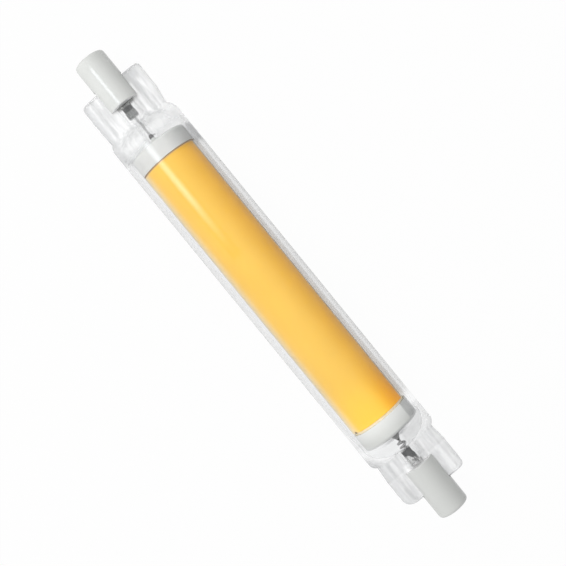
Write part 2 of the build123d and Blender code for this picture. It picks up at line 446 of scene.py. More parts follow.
def makeGlass():
    steps, count = glass["steps"], glass["around"]
    outer, inner = {}, {}
    for end in ends:
        noseStart, neckStart = glass["tip"][end] - glass["nose"], ferrule["start"][end]
        turns = spread(0, math.pi / 2, steps["nose"])[1:]
        outer[end] = spread(glass["shoulderStart"], noseStart, steps["outer"])
        outer[end] += [noseStart + glass["nose"] * math.sin(turn) for turn in turns]
        inner[end] = spread(glass["shoulderStart"], glass["hollowEnd"][end], steps["hollow"])
        inner[end] += spread(neckStart, neckStart + glass["neck"], steps["neck"]) + [glass["tip"][end]]
    middle = spread(-glass["shoulderStart"] / 2, glass["shoulderStart"] / 2, 2)
    points, faces, rims = [], [], []
    for stations, section, inside in ((outer, outerSection, False), (inner, innerSection, True)):
        whole = [-x for x in reversed(stations["left"])] + middle + stations["right"]
        first = len(points)
        for x in whole:
            points.extend(section(x))
        skin = stitch(len(whole), count, first)
        faces += [face[::-1] for face in skin] if inside else skin
        rims.append((first, len(points) - count))
    (outerLeft, outerRight), (innerLeft, innerRight) = rims
    for k in range(count):
        j = (k + 1) % count
        faces.append((outerLeft + j, outerLeft + k, innerLeft + k, innerLeft + j))
        faces.append((outerRight + k, outerRight + j, innerRight + j, innerRight + k))
    piece = addPiece("glassTube", points, faces)
    outward(piece)
    return piece


glassLook = {
    "shades": {  # darkest and lightest
        "clear": ((0.95, 0.955, 0.957), (0.975, 0.978, 0.98)),
        # painted shade: the tube's glass is darker along its front edge and in bands along its back edge
        "frontEdgeShade": ((0.82, 0.825, 0.828), (0.87, 0.873, 0.875)),
        "backEdgeShade": ((0.63, 0.605, 0.575), (0.69, 0.665, 0.635)),
        "backWallShade": ((0.84, 0.84, 0.84), (0.89, 0.89, 0.89)),
        "backRimShade": ((0.67, 0.67, 0.67), (0.72, 0.72, 0.72)),
        # painted shade: the back of the left-hand pinch and the whole right-hand pinch are darker
        "leftFront": ((0.78, 0.785, 0.788), (0.97, 0.972, 0.974)),
        "leftBackShade": ((0.66, 0.665, 0.668), (0.95, 0.952, 0.954)),
        "right": ((0.73, 0.735, 0.74), (0.88, 0.883, 0.886)),
    },
    "tints": {
        # painted shade at the back of the left-hand tip
        "leftTipShade": (0.68, 0.685, 0.688),
        # painted shade along the wings' front rims and painted light along their back rims
        "wingFrontShade": (0.72, 0.725, 0.73),
        "wingBackLight": (0.95, 0.953, 0.955),
        # painted light on the steep shoulders
        "steep": (0.965, 0.968, 0.97),
        # painted shade round the right-hand bead
        "bead": (0.4, 0.4, 0.41),
        # painted shade over the back of the left-hand cup
        "leftCupShade": (0.36, 0.365, 0.37),
    },
    "zones": {  # axis, where it starts, where it is full; True counts both ways from the middle
        # where the painted shade along the tube's edges lies
        "frontEdgeShade": ("Y", -6.4, -7.1),
        "backEdgeShade": ("Y", 5.6, 6.3),
        "backWallShade": ("Y", 6.5, 6.95),
        "backRimShade": ("Y", 7.25, 7.55),
        "fromLeftCup": ("X", -33.0, -31.0),
        "toRightCup": ("X", 35.0, 33.0),
        # where the painted shade over the left-hand cup lies
        "leftCupShadeStart": ("X", -36.6, -35.6),
        "leftCupShadeEnd": ("X", -30.9, -32.1),
        "leftCupShadeSlope": ("Y", 1.2, 5.5),
        "leftCupShadeRim": ("Y", 6.4, 7.6),
        "leftEnd": ("X", -35.8, -38.4),
        "leftSteep": ("X", -42.2, -41.0),
        "leftBackShade": ("Y", -1.5, 2.5),
        "leftTipShade": ("X", -49.0, -50.4),
        "leftTipBack": ("Y", -4.0, 2.0),
        "rightBend": ("X", 22.0, 38.5),
        "rightSteep": ("X", 43.6, 42.6),
        "steepBack": ("Y", -1.0, 2.5),
        "hollowBack": ("Y", -1.5, 1.5),
        "shoulder": ("X", 43.5, 42.7, True),
        "shoulderSides": ("Y", 0.6, 1.5, True),
        "wings": ("Y", 1.4, 2.4, True),
        "wingFrontShade": ("Y", -5.6, -6.8),
        "wingBackLight": ("Y", 5.8, 6.6),
        "beadStart": ("X", 38.3, 38.55),
        "beadEnd": ("X", 39.2, 38.8),
        "beadSides": ("Y", 3.8, 1.2, True),
        "collar": ("X", 45.2, 46.0),
        "collarInside": ("Y", 1.2, 1.45, True),
        "collarOutside": ("Y", 3.4, 2.4, True),
        "collarBack": ("Y", -1.0, 1.0),
        "pastCollar": ("X", 46.1, 46.8),
    },
    "rightEnd": (38.2, 39.3, 0.0227),  # start, full, and how far it bows, per millimetre squared
    "rightHollow": (45.4, 42.9, 0.063),
    "bending": (0.48, 0.3),  # index above 1, in the tube and in the pinch
    "shoulderBending": 0.04,  # share of it left on the steep shoulder
    "tubeRough": (0.0, 0.03),
    "pinchRough": (0.05, 0.25),  # spine and wings
    "haze": {
        "clearest": 0.993,  # share of light let through without haze
        "pinch": (0.12, 0.52),  # spine and wings
        "uneven": (0.85, 1.15),
        "leftSteep": 0.5,  # share left there
        "rightCleared": (0.92, 0.65),  # taken off inside the hollow, front and back
        "collar": (0.25, 0.45),  # round the right-hand ferrule, front and back
        "pastCollar": 0.25,
    },
    "leftCupShade": (0.22, 0.75),  # painted shade over the back of the left-hand cup, on the slope and on the rim
}


def glassFinish():
    finish = startFinish("clearGlass", {"IOR": 1.48, "Specular IOR Level": 0.5})
    tints, hazes = glassLook["tints"], glassLook["haze"]

    def zone(*names):
        # where all of these stretches meet
        stretches = [stretchOf(finish, *glassLook["zones"][name]) for name in names]
        share = stretches[0]
        for stretch in stretches[1:]:
            share = times(finish, share, stretch)
        return share

    atLeft = zone("leftEnd")
    atRight = bowedStretch(finish, *glassLook["rightEnd"])
    pinched = plus(finish, atLeft, atRight)
    shoulder = zone("shoulder")
    litLeft = times(finish, times(finish, atLeft, zone("leftSteep")), fade(finish, zone("steepBack"), 0.3, 1.0))
    hollow = times(finish, bowedStretch(finish, *glassLook["rightHollow"]), zone("rightSteep"))
    litRight = times(finish, atRight, hollow)

    # colour: clear tube and milky pinches, with painted shade and painted light laid over them in darker and
    # lighter zones
    shades = {}
    streaks = grain(finish, 0.8, 4, (0.13, 1, 1))
    for name, pair in glassLook["shades"].items():
        if name == "clear":
            shades[name] = ramp(finish, grain(finish, 6, 2), *pair)
        elif name.startswith(("left", "right")):
            shades[name] = ramp(finish, streaks, *pair, 0.38, 0.62)
        else:
            shades[name] = ramp(finish, grain(finish, 3, 3, (0.3, 1, 1)), *pair)
    # painted shade along the tube's back edge, in bands, and along its front edge
    back = tint(finish, zone("backWallShade"), shades["backEdgeShade"], shades["backWallShade"])
    back = tint(finish, zone("backRimShade"), back, shades["backRimShade"])
    shade = tint(finish, zone("frontEdgeShade"), shades["clear"], shades["frontEdgeShade"])
    shade = tint(finish, zone("fromLeftCup", "toRightCup", "backEdgeShade"), shade, back)
    # painted shade: darker at the back of the left-hand pinch and its tip, and over the whole right-hand pinch
    milky = tint(finish, zone("leftBackShade"), shades["leftFront"], shades["leftBackShade"])
    milky = tint(finish, zone("leftTipShade", "leftTipBack"), milky, tints["leftTipShade"])
    shade = tint(finish, atLeft, shade, milky)
    shade = tint(finish, atRight, shade, shades["right"])
    # painted shade along the wings' front rims and painted light along their back rims
    for side in ("wingFrontShade", "wingBackLight"):
        shade = tint(finish, times(finish, pinched, zone(side)), shade, tints[side])
    # painted light on the steep shoulders
    lit = times(finish, plus(finish, litLeft, litRight), 0.9)
    shade = tint(finish, lit, shade, tints["steep"])
    # painted shade on the glass round the right-hand bead
    beadShade = times(finish, zone("beadStart", "beadEnd", "beadSides"), 0.55)
    shade = tint(finish, beadShade, shade, tints["bead"])
    # painted shade on the glass over the back of the left-hand cup
    slope, rim = [fade(finish, zone(name), 0, depth) for name, depth in zip(
        ("leftCupShadeSlope", "leftCupShadeRim"), glassLook["leftCupShade"])]
    leftCupShading = times(finish, zone("leftCupShadeStart", "leftCupShadeEnd"), plus(finish, slope, rim))
    wire(finish, tint(finish, leftCupShading, shade, tints["leftCupShade"]), "Base Color")

    # the steep shoulders bend light least, or they would show dark bands
    atEnds = plus(finish, atLeft, zone("rightBend"))
    steep = fade(finish, times(finish, atEnds, shoulder), 1.0, glassLook["shoulderBending"])
    bending = times(finish, fade(finish, atEnds, *glassLook["bending"]), steep)
    wire(finish, plus(finish, bending, 1.0), "IOR")

    # gloss and haze: the pressed wings are duller than the spine between them
    shoulder = times(finish, pinched, shoulder)
    wing = times(finish, zone("wings"), fade(finish, shoulder, 1.0, 0.0))
    wing = plus(finish, wing, times(finish, shoulder, zone("shoulderSides")))
    smooth = ramp(finish, grain(finish, 1.2, 4), *glassLook["tubeRough"], 0.45, 0.75)
    rough = fade(finish, wing, *glassLook["pinchRough"])
    wire(finish, addNode(finish, "ShaderNodeMix", {0: pinched, 2: smooth, 3: rough}).outputs[0], "Roughness")
    haze = times(finish, pinched, fade(finish, wing, *hazes["pinch"]))
    haze = times(finish, haze, ramp(finish, grain(finish, 1.4, 3, (0.2, 1, 1)), *hazes["uneven"]))
    cleared = times(finish, litRight, fade(finish, zone("hollowBack"), *hazes["rightCleared"]))
    haze = times(finish, haze, fade(finish, cleared, 1.0, 0.0))
    haze = times(finish, haze, fade(finish, litLeft, 1.0, hazes["leftSteep"]))
    strength = fade(finish, zone("collarBack"), *hazes["collar"])
    collar = times(finish, zone("collar", "collarInside", "collarOutside"), strength)
    haze = plus(finish, haze, collar)
    haze = plus(finish, haze, times(finish, zone("pastCollar"), hazes["pastCollar"]))
    wire(finish, maths(finish, "SUBTRACT", hazes["clearest"], haze), "Transmission Weight")
    return finish


glassTube = makeGlass()
dress(glassTube, glassFinish(), "clear_glass", "glass_envelope")
glassTube.visible_shadow = False  # lamps reach the core through it
print("glass made,", len(glassTube.data.polygons), "faces")


# ceramic end caps with a slot for the pinch and a recess for the contact

cap = {
    "inner": 47.0,
    "outer": 58.8,
    "radius": 3.5,
    "edge": 0.75,
    "innerEdge": 0.22,
    "bore": 1.21,
    "boreEdge": 0.1,
    "recess": 2.3,
    "recessEdge": 0.35,
    "recessCorner": 0.12,
    "contactFace": 57.1,
    "contactSeat": 56.5,
    "seat": 2.05,
    "seatEdge": 0.08,
    "slotHalf": 1.15,
    "spineSlot": (2.4, 1.75),  # half width and half height over the thick middle of the pinch
    "slotFloor": {"left": 52.75, "right": 53.3},
    "bevel": 0.12,
    "bevelAngle": 50,  # degrees; edges sharper than this are bevelled
    "sharpAngle": 40,
}


def makeCap(name, end, sign):
    line = softProfile([
        (cap["inner"], cap["bore"], cap["boreEdge"]),
        (cap["inner"], cap["radius"], cap["innerEdge"]),
        (cap["outer"], cap["radius"], cap["edge"]),
        (cap["outer"], cap["recess"], cap["recessEdge"]),
        (cap["contactFace"], cap["recess"], cap["recessCorner"]),
        (cap["contactFace"], cap["seat"], cap["seatEdge"]),
        (cap["contactSeat"], cap["seat"], 0),
        (cap["contactSeat"], cap["bore"], 0),
    ])
    piece = turnedPiece(name, line, 144, sign)
    wide, half = cap["radius"] + 1, cap["slotHalf"]
    spineWide, spineHalf = cap["spineSlot"]
    quarter = [(wide, half), (spineWide, half), (spineWide, spineHalf)]
    outline = quarter + [(-y, z) for y, z in reversed(quarter)]
    outline += [(-y, -z) for y, z in outline]
    count = len(outline)
    corners = [(sign * x, y, z) for x in (cap["inner"] - 1, cap["slotFloor"][end]) for y, z in outline]
    sides = [(k, (k + 1) % count, count + (k + 1) % count, count + k) for k in range(count)]
    sides += [tuple(range(count)), tuple(range(2 * count - 1, count - 1, -1))]
    cutter = addPiece("slotCutter", corners, sides)
    outward(cutter)
    cut = piece.modifiers.new("slot", "BOOLEAN")
    cut.operation = "DIFFERENCE"
    cut.solver = "EXACT"
    cut.object = cutter
    soften = piece.modifiers.new("edges", "BEVEL")
    soften.width = cap["bevel"] * mm
    soften.segments = 2
    soften.limit_method = "ANGLE"
    soften.angle_limit = math.radians(cap["bevelAngle"])
    settle(piece)
    bpy.data.objects.remove(cutter)
    piece.data.polygons.foreach_set("use_smooth", [True] * len(piece.data.polygons))
    piece.data.set_sharp_from_angle(angle=math.radians(cap["sharpAngle"]))
    return piece


def ceramicFinish():
    finish = startFinish("glazedCeramic", {"Coat Weight": 0.85, "Coat Roughness": 0.05})
    mottled = ramp(finish, grain(finish, 3.5, 4), (0.62, 0.635, 0.615), (0.67, 0.68, 0.66))
    specks = ramp(finish, grain(finish, 0.25, 2), (0.58, 0.59, 0.565), (0.66, 0.67, 0.65), 0.25, 0.42)
    shade = tint(finish, 0.35, mottled, specks)
    # painted shade: the right-hand cap is darker all over
    rightShade = tint(finish, 0.5, shade, (0.52, 0.53, 0.515))
    shade = tint(finish, rightHalf(finish), shade, rightShade)
    # painted light on the caps' inner end faces
    litInnerFace = stretchOf(finish, "X", cap["inner"] + 0.12, cap["inner"] + 0.02, True)
    wire(finish, tint(finish, litInnerFace, shade, (0.76, 0.765, 0.755)), "Base Color")
    wire(finish, ramp(finish, grain(finish, 0.8, 4), 0.38, 0.52), "Roughness")
    roughen(finish, grain(finish, 0.3, 3), 0.12, 0.05)
    return finish


ceramic = ceramicFinish()
for end, sign in ends.items():
    dress(makeCap("endCap_" + end, end, sign), ceramic, "cap_ceramic", "end_cap_" + end)
print("caps made")


# contacts in the recesses

contact = {
    "radius": 2.0,
    "edge": 0.16,
    "stem": 0.6,
    "stemEdge": 0.1,
    "seatEdge": 0.05,
    "dish": 0.12,
    "dishShare": (0.55, 0.3),  # of the radius, at the dish's edge and floor
    "dishSoft": 0.2,
}


def makeContact(name, sign):
    face, seat, floor = cap["contactFace"], cap["contactSeat"], cap["contactFace"] - contact["dish"]
    dishEdge, dishFloor = [contact["radius"] * share for share in contact["dishShare"]]
    line = softProfile([
        (ferrule["stemEnd"], 0, 0),
        (ferrule["stemEnd"], contact["stem"], contact["stemEdge"]),
        (seat, contact["stem"], contact["seatEdge"]),
        (seat, contact["radius"], contact["seatEdge"]),
        (face, contact["radius"], contact["edge"]),
        (face, dishEdge, contact["dishSoft"]),
        (floor, dishFloor, contact["dishSoft"]),
        (floor, 0, 0),
    ])
    return turnedPiece(name, line, 96, sign)


def contactFinish():
    finish = startFinish("contactMetal", {"Metallic": 1.0})
    rings = addNode(finish, "ShaderNodeTexWave", {
        "Vector": place(finish), "Scale": 900, "Distortion": 1.5, "Detail": 2,
    }, wave_type="RINGS", rings_direction="X").outputs["Fac"]
    wire(finish, ramp(finish, grain(finish, 0.6, 4), (0.5, 0.49, 0.47), (0.64, 0.63, 0.6)), "Base Color")
    wire(finish, ramp(finish, rings, 0.22, 0.36, 0, 1), "Roughness")
    roughen(finish, rings, 0.15, 0.02)
    return finish


contactMetal = contactFinish()
for end, sign in ends.items():
    dress(makeContact("contact_" + end, sign), contactMetal, "contact_metal", "contact_button_" + end)
print("contacts made")


# crimped ferrules in the pinches

def makeFerrule(name, end, sign):
    start, nose = ferrule["start"][end], ferrule["nose"][end]
    low, high = ferrule["crimp"][end]
    soft = ferrule["crimpSoft"]
    noseEnd = start + 2 * nose
    line = softProfile([
        (start, ferrule["hole"], 0.05),
        (start, ferrule["radius"], nose),
        (noseEnd + 0.01, ferrule["radius"], 0),
    ])
    line += [Vector((x, ferrule["radius"])) for x in spread(noseEnd + 0.05, ferrule["bareEnd"], 60)]
    line += [Vector(point) for point in (
        (ferrule["end"], ferrule["radius"]),
        (ferrule["end"], ferrule["stem"]),
        (ferrule["stemEnd"], ferrule["stem"]),
        (ferrule["stemEnd"], 0),
        (ferrule["holeEnd"][end], 0),
        (ferrule["holeEnd"][end], ferrule["hole"]),
    )]

    def ruffle(x, angle):
        if x > ferrule["bareEnd"] + 0.1 or x < start + nose * 0.5:
            return 0
        dent = -ferrule["crimpDepth"] * ease(low - soft, low, x) * (1 - ease(high, high + soft, x))
        crease = noise.noise((x * 2.1, math.cos(angle) * 2.4, math.sin(angle) * 2.4 + sign * 7))
        past = ease(high, high + 0.3, x) if end == "right" else 1
        return dent + ferrule["ruffle"][end] * past * (crease - 0.35)

    piece = turnedPiece(name, line, 72, sign, ruffle)
    for vertex in piece.data.vertices:
        vertex.co.y += askewAt(abs(vertex.co.x) / mm, end) * mm
    return piece


def ferruleFinish(end):
    finish = startFinish("ferruleMetal_" + end, {"Metallic": 1.0})
    low, high = ferrule["crimp"][end]
    soft, lean = ferrule["darkSoft"], ferrule["lean"][end]
    along = axisPlace(finish, "X", True)
    darkBack = times(finish, stretchOf(finish, "Y", -0.6, 0.0), ferrule["darkReach"][end] * mm)
    rise = ramp(finish, along, 0, 1, (low - soft) * mm, (low + soft) * mm)
    fall = ramp(finish, maths(finish, "SUBTRACT", along, darkBack), 1, 0, (high - soft) * mm, (high + soft) * mm)
    # painted light towards the front and painted shade at the back
    side = fade(finish, stretchOf(finish, "Y", 0.7, -0.7), -lean, lean)
    patches = plus(finish, grain(finish, 0.6, 2, (0.5, 1, 1)), side)
    bright = ramp(finish, patches, *ferrule["shades"][end], 0.4, 0.6)
    outer = times(finish, stretchOf(finish, "X", 45.8, 46.6), 0.6)  # painted light next to the right-hand cap
    bright = tint(finish, outer, bright, (0.85, 0.85, 0.84))
    wire(finish, tint(finish, times(finish, rise, fall), bright, ferrule["dark"]), "Base Color")
    wire(finish, ramp(finish, grain(finish, 0.5, 3), 0.12, 0.3), "Roughness")
    return finish


for end, sign in ends.items():
    dress(makeFerrule("ferrule_" + end, end, sign), ferruleFinish(end), "ferrule_metal", "ferrule_" + end)
print("ferrules made")


# lead wires: straight on the left, coiled on the right, with beads of solder on the core

lead = {
    "radius": 0.25,
    "start": {"left": 31.4, "right": 33.2},
    "end": {"left": 47.2, "right": 46.3},
    "coilStart": 41.25,
    "coilEnd": 43.05,
    "coilTurns": 2,
    "coilAngle": 0.6,
    "coilRadius": 0.72,
    "coilRamp": 0.22,
    "free": (39.2, 40.2, 43.2, 44.2),  # the left wire wavers between bead and ferrule
    "waver": 0.07,
}


def straightPath(start, stop, steps):
    return [Vector((x, 0, 0)) for x in spread(start, stop, steps)]


def coiledPath():
    path = straightPath(lead["start"]["right"], lead["coilStart"], 60)
    for share in spread(0, 1, 120)[1:]:
        out = ease(0, lead["coilRamp"], share) * (1 - ease(1 - lead["coilRamp"], 1, share))
        angle = 2 * math.pi * lead["coilTurns"] * share + lead["coilAngle"]
        x = blend(lead["coilStart"], lead["coilEnd"], share)
        reach = lead["coilRadius"] * out
        path.append(Vector((x, reach * math.cos(angle), reach * math.sin(angle))))
    return path + straightPath(lead["coilEnd"], lead["end"]["right"], 12)[1:]


def waveringPath():
    path = straightPath(lead["start"]["left"], lead["coilStart"], 60)
    path += straightPath(lead["coilStart"], lead["end"]["left"], 40)[1:]
    low, full, fading, high = lead["free"]
    for point in path:
        free = ease(low, full, point.x) * (1 - ease(fading, high, point.x))
        point.y += free * lead["waver"] * noise.noise((point.x * 0.9, 3.1, 0))
        point.z += free * lead["waver"] * noise.noise((point.x * 0.9, 8.7, 0))
        point.x = -point.x
    return path


def wireFinish():
    finish = startFinish("dullWire", {"Metallic": 0.6})
    wire(finish, ramp(finish, grain(finish, 0.4, 5), (0.42, 0.42, 0.425), (0.68, 0.68, 0.68)), "Base Color")
    wire(finish, ramp(finish, grain(finish, 0.3, 4), 0.28, 0.5), "Roughness")
    roughen(finish, grain(finish, 0.12, 3, (0.3, 1, 1)), 0.25, 0.02)
    return finish


dullWire = wireFinish()
for end, path in (("left", waveringPath()), ("right", coiledPath())):
    dress(barAlong("leadWire_" + end, path, lead["radius"], 20), dullWire, "lead_wire", "lead_wire_" + end)

bead = {
    "base": {"left": 37.5, "right": 37.75},
    "radius": {"left": 0.62, "right": 1.75},
    "length": {"left": 2.5, "right": 2.35},
    "hollow": {"left": 0.35, "right": 1.15},  # how hollow the cone's side is
    "lumps": 0.06,
    "whisker": 0.07,  # radius of a stray wire end at the left bead
    "whiskerStart": (-38.7, 0.3, 0.35),
    "whiskerEnd": (-38.35, 1.05, 0.45),
}


def makeBead(name, end, sign):
    base = bead["base"][end]
    line = [Vector((base, lead["radius"]))]
    for share in spread(0, 1, 24):
        lift = (bead["radius"][end] - lead["radius"]) * (1 - share) ** bead["hollow"][end]
        line.append(Vector((base + bead["length"][end] * share, lead["radius"] + max(0.01, lift))))

    def ruffle(x, angle):
        if x < base + 0.05:
            return 0
        return bead["lumps"] * noise.noise((x * 1.2, math.cos(angle) + sign, math.sin(angle)))

    return turnedPiece(name, line, 64, sign, ruffle, coreShift)


def solderFinish():
    finish = startFinish("darkSolder", {"Metallic": 0.3})
    dark = ramp(finish, grain(finish, 0.5, 4), (0.03, 0.028, 0.028), (0.08, 0.078, 0.076))
    grey = ramp(finish, grain(finish, 0.5, 4), (0.3, 0.3, 0.3), (0.42, 0.42, 0.415))
    pale = tint(finish, rightHalf(finish), (0.7, 0.71, 0.69), grey)
    outer = plus(finish, stretchOf(finish, "X", -38.05, -38.25), stretchOf(finish, "X", 40.3, 40.9))
    wire(finish, tint(finish, outer, pale, dark), "Base Color")
    wire(finish, ramp(finish, grain(finish, 0.3, 3), 0.3, 0.6), "Roughness")
    return finish


darkSolder = solderFinish()
for end, sign in ends.items():
    dress(makeBead("solderBead_" + end, end, sign), darkSolder, "solder", "solder_bead_" + end)
whiskerStart, whiskerEnd = Vector(bead["whiskerStart"]), Vector(bead["whiskerEnd"])
whiskerPath = [blend(whiskerStart, whiskerEnd, share) for share in spread(0, 1, 8)]
dress(barAlong("wireEnd_left", whiskerPath, bead["whisker"], 10), darkSolder, "solder")
print("wires and beads made")


# cups on the ends of the core

cup = {
    "mouth": {"left": 33.55, "right": 33.7},
    "end": {"left": 37.5, "right": 37.75},
    "seat": 36.3,
    "radius": 6.5,
    "bore": 6.15,
    "hole": 0.3,
    "edge": {"left": 0.8, "right": 0.35},
    "lip": 0.12,
}


def makeCup(name, end, sign):
    line = softProfile([
        (cup["mouth"][end], cup["bore"], cup["lip"]),
        (cup["mouth"][end], cup["radius"], cup["lip"]),
        (cup["end"][end], cup["radius"], cup["edge"][end]),
        (cup["end"][end], cup["hole"], 0.1),
        (cup["seat"], cup["hole"], 0),
        (cup["seat"], cup["bore"], 0),
    ], 8)
    return turnedPiece(name, line, 144, sign, shift=coreShift)


def cupFinish():
    finish = startFinish("paleCup", {"Coat Weight": 0.5, "Coat Roughness": 0.08})
    pale = ramp(finish, grain(finish, 4, 3), (0.66, 0.67, 0.65), (0.71, 0.715, 0.7))
    # painted shade: the right-hand cup darkens towards its outer end
    rightShade = fade(finish, stretchOf(finish, "X", 34.4, 38.2), (0.7, 0.705, 0.685), (0.53, 0.535, 0.515))
    # painted shade: a dark band along the back of the right-hand cup
    backShade = ramp(finish, grain(finish, 3, 3), (0.36, 0.365, 0.36), (0.42, 0.425, 0.415))
    atRight = rightHalf(finish)
    edge = times(finish, atRight, stretchOf(finish, "Y", 4.4, 4.8))
    shade = tint(finish, edge, tint(finish, atRight, pale, rightShade), backShade)
    depth = fade(finish, stretchOf(finish, "Y", -3.0, 1.5), 0.5, 1.0)
    rim = times(finish, stretchOf(finish, "X", 37.9, 38.4), depth)  # shaded outer edge of the right-hand cup
    wire(finish, tint(finish, rim, shade, (0.34, 0.345, 0.34)), "Base Color")
    wire(finish, ramp(finish, grain(finish, 0.9, 4), 0.3, 0.42), "Roughness")
    roughen(finish, grain(finish, 0.5, 3), 0.06, 0.03)
    return finish


paleCup = cupFinish()
for end, sign in ends.items():
    dress(makeCup("coreCup_" + end, end, sign), paleCup, "core_cup", "core_cup_" + end)
print("cups made")


# core tube and its phosphor coat

core = {"end": 36.3, "radius": 6.1, "bore": 5.1, "edge": 0.1}
coat = {
    "end": 33.25,
    "inner": 6.1,
    "outer": 6.45,
    "seam": 54.0,  # degrees left bare, about +Y
    "edge": 0.14,
    "waver": 0.8,  # degrees, along the seam's edges
    "uneven": 0.012,
    "notch": (34.1, -5.65, 3.1),  # small brown gap at the right-hand end
    "notchRadius": 0.35,
    "notchSoft": 0.2,
    "steps": {"outer": 200, "inner": 60, "along": 150, "rim": 5},
}


def makeTube():
    line = softProfile([
        (-core["end"], core["bore"], core["edge"]),
        (-core["end"], core["radius"], core["edge"]),
        (core["end"], core["radius"], core["edge"]),
        (core["end"], core["bore"], core["edge"]),
    ], 3)
    return turnedPiece("coreTube", line, 160, shift=coreShift)


def coatSection(x):
    past = max(0, abs(x) - (coat["end"] - coat["edge"])) / coat["edge"]
    thick = (coat["outer"] - coat["inner"]) * blend(0.45, 1, math.sqrt(max(0, 1 - past**2)))
    start = coat["seam"] / 2 + coat["waver"] * noise.noise((x * 0.45, 2.2, 0))
    stop = 360 - coat["seam"] / 2 + coat["waver"] * noise.noise((x * 0.45, 9.1, 0))
    rim = math.degrees(coat["edge"] / coat["outer"])
    outline = []
    for share in spread(0, 1, coat["steps"]["outer"]):
        turn = blend(start, stop, share)
        angle = math.radians(turn)
        near = min(turn - start, stop - turn) / rim
        rise = math.sqrt(max(0, 1 - (1 - min(1, near)) ** 2))
        lift = coat["uneven"] * noise.noise((x * 0.35, math.cos(angle) * 2, math.sin(angle) * 2))
        outline.append((angle, coat["inner"] + thick * blend(0.35, 1, rise) + lift * rise))
    for share in spread(0, 1, coat["steps"]["inner"]):
        outline.append((math.radians(blend(stop, start, share)), coat["inner"]))
    return [Vector((x, radius * math.cos(angle), radius * math.sin(angle))) for angle, radius in outline]


def makeCoat():
    steps, flatEnd = coat["steps"], coat["end"] - coat["edge"]
    rim = [flatEnd + coat["edge"] * math.sin(turn) for turn in spread(0, math.pi / 2, steps["rim"])]
    stations = [-x for x in reversed(rim)] + spread(-flatEnd, flatEnd, steps["along"])[1:-1] + rim
    sections = [coatSection(x) for x in stations]
    count = len(sections[0])
    points = [point + Vector((coreShift, 0, 0)) for section in sections for point in section]
    faces = stitch(len(stations), count)
    outerCount, innerSteps = steps["outer"] + 1, steps["inner"]
    for row, flip in ((0, False), (len(stations) - 1, True)):  # closes the two ends
        base = row * count
        for share in range(innerSteps):
            low = round(share * steps["outer"] / innerSteps)
            high = round((share + 1) * steps["outer"] / innerSteps)
            face = [base + k for k in range(low, high + 1)]
            face += [base + outerCount + innerSteps - share - 1, base + outerCount + innerSteps - share]
            faces.append(tuple(face[::-1] if flip else face))
    piece = addPiece("phosphorCoat", points, faces)
    outward(piece)
    return piece


def tubeFinish():
    finish = startFinish("paleCeramic", {})
    pale = ramp(finish, grain(finish, 2, 4), (0.7, 0.58, 0.41), (0.78, 0.66, 0.5))
    shadedGap = ramp(finish, grain(finish, 0.8, 3), (0.55, 0.34, 0.14), (0.68, 0.44, 0.2))
    litGap = ramp(finish, grain(finish, 0.8, 3), (0.85, 0.74, 0.5), (0.93, 0.84, 0.64))
    atLeft = stretchOf(finish, "X", coreShift - 33.2, coreShift - 33.3)  # bare rings past the coat, with painted shade in the left-hand gap and painted light in the right-hand one
    atRight = stretchOf(finish, "X", coreShift + 33.2, coreShift + 33.3)
    wire(finish, tint(finish, atRight, tint(finish, atLeft, pale, shadedGap), litGap), "Base Color")
    wire(finish, ramp(finish, grain(finish, 0.5, 4), 0.45, 0.6), "Roughness")
    roughen(finish, grain(finish, 0.3, 3), 0.1, 0.03)
    return finish


def phosphorFinish():
    finish = startFinish("yellowPhosphor", {
        "Specular IOR Level": 0.15,
        "Sheen Weight": 1.0,
        "Sheen Roughness": 0.35,
        "Sheen Tint": (0.8, 0.9, 1.0, 1),
    })
    clear = ramp(finish, grain(finish, 7, 4, (0.4, 1, 1)), (0.95, 0.565, 0.06), (0.97, 0.59, 0.075))
    deep = ramp(finish, grain(finish, 5, 4, (0.4, 1, 1)), (0.94, 0.455, 0.0), (0.96, 0.48, 0.006))
    specks = ramp(finish, grain(finish, 0.35, 2), 0.0, 0.12, 0.55, 0.75)
    # painted shade: deeper orange towards the back
    shaded = tint(finish, stretchOf(finish, "Y", 0, 6.2), clear, deep)
    rightBackShade = stretchOf(finish, "X", coreShift + 20, coreShift + 33)  # painted shade: browner towards the right, at the back
    rightBackShade = times(finish, rightBackShade, stretchOf(finish, "Y", 1.0, 5.0))
    shaded = tint(finish, rightBackShade, shaded, (0.86, 0.36, 0.015))
    # painted light: paler towards the front edge
    shaded = tint(finish, stretchOf(finish, "Y", -4.4, -6.4), shaded, (0.95, 0.74, 0.4))
    shaded = tint(finish, specks, shaded, (0.82, 0.42, 0.05))
    notch = spotAt(finish, coat["notch"], coat["notchRadius"], coat["notchSoft"])
    wire(finish, tint(finish, notch, shaded, (0.16, 0.08, 0.02)), "Base Color")
    wire(finish, ramp(finish, grain(finish, 0.7, 4), 0.42, 0.56), "Roughness")
    roughen(finish, grain(finish, 0.25, 4), 0.12, 0.03)
    return finish


dress(makeTube(), tubeFinish(), "core_tube", "core_tube")
phosphorCoat = makeCoat()
dress(phosphorCoat, phosphorFinish(), "phosphor", "phosphor_coat")
print("core made,", len(phosphorCoat.data.polygons), "faces in the coat")


# pieces shown as drawn in the frame, with finishes of their own

def plainFinish(name, size, low, high, roughLow, roughHigh, bump, sockets=None):
    finish = startFinish(name, sockets or {})
    wire(finish, ramp(finish, grain(finish, size, 4), low, high), "Base Color")
    wire(finish, ramp(finish, grain(finish, size * 0.6, 3), roughLow, roughHigh), "Roughness")
    roughen(finish, grain(finish, size * 0.3, 3), bump, 0.05)
    return finish


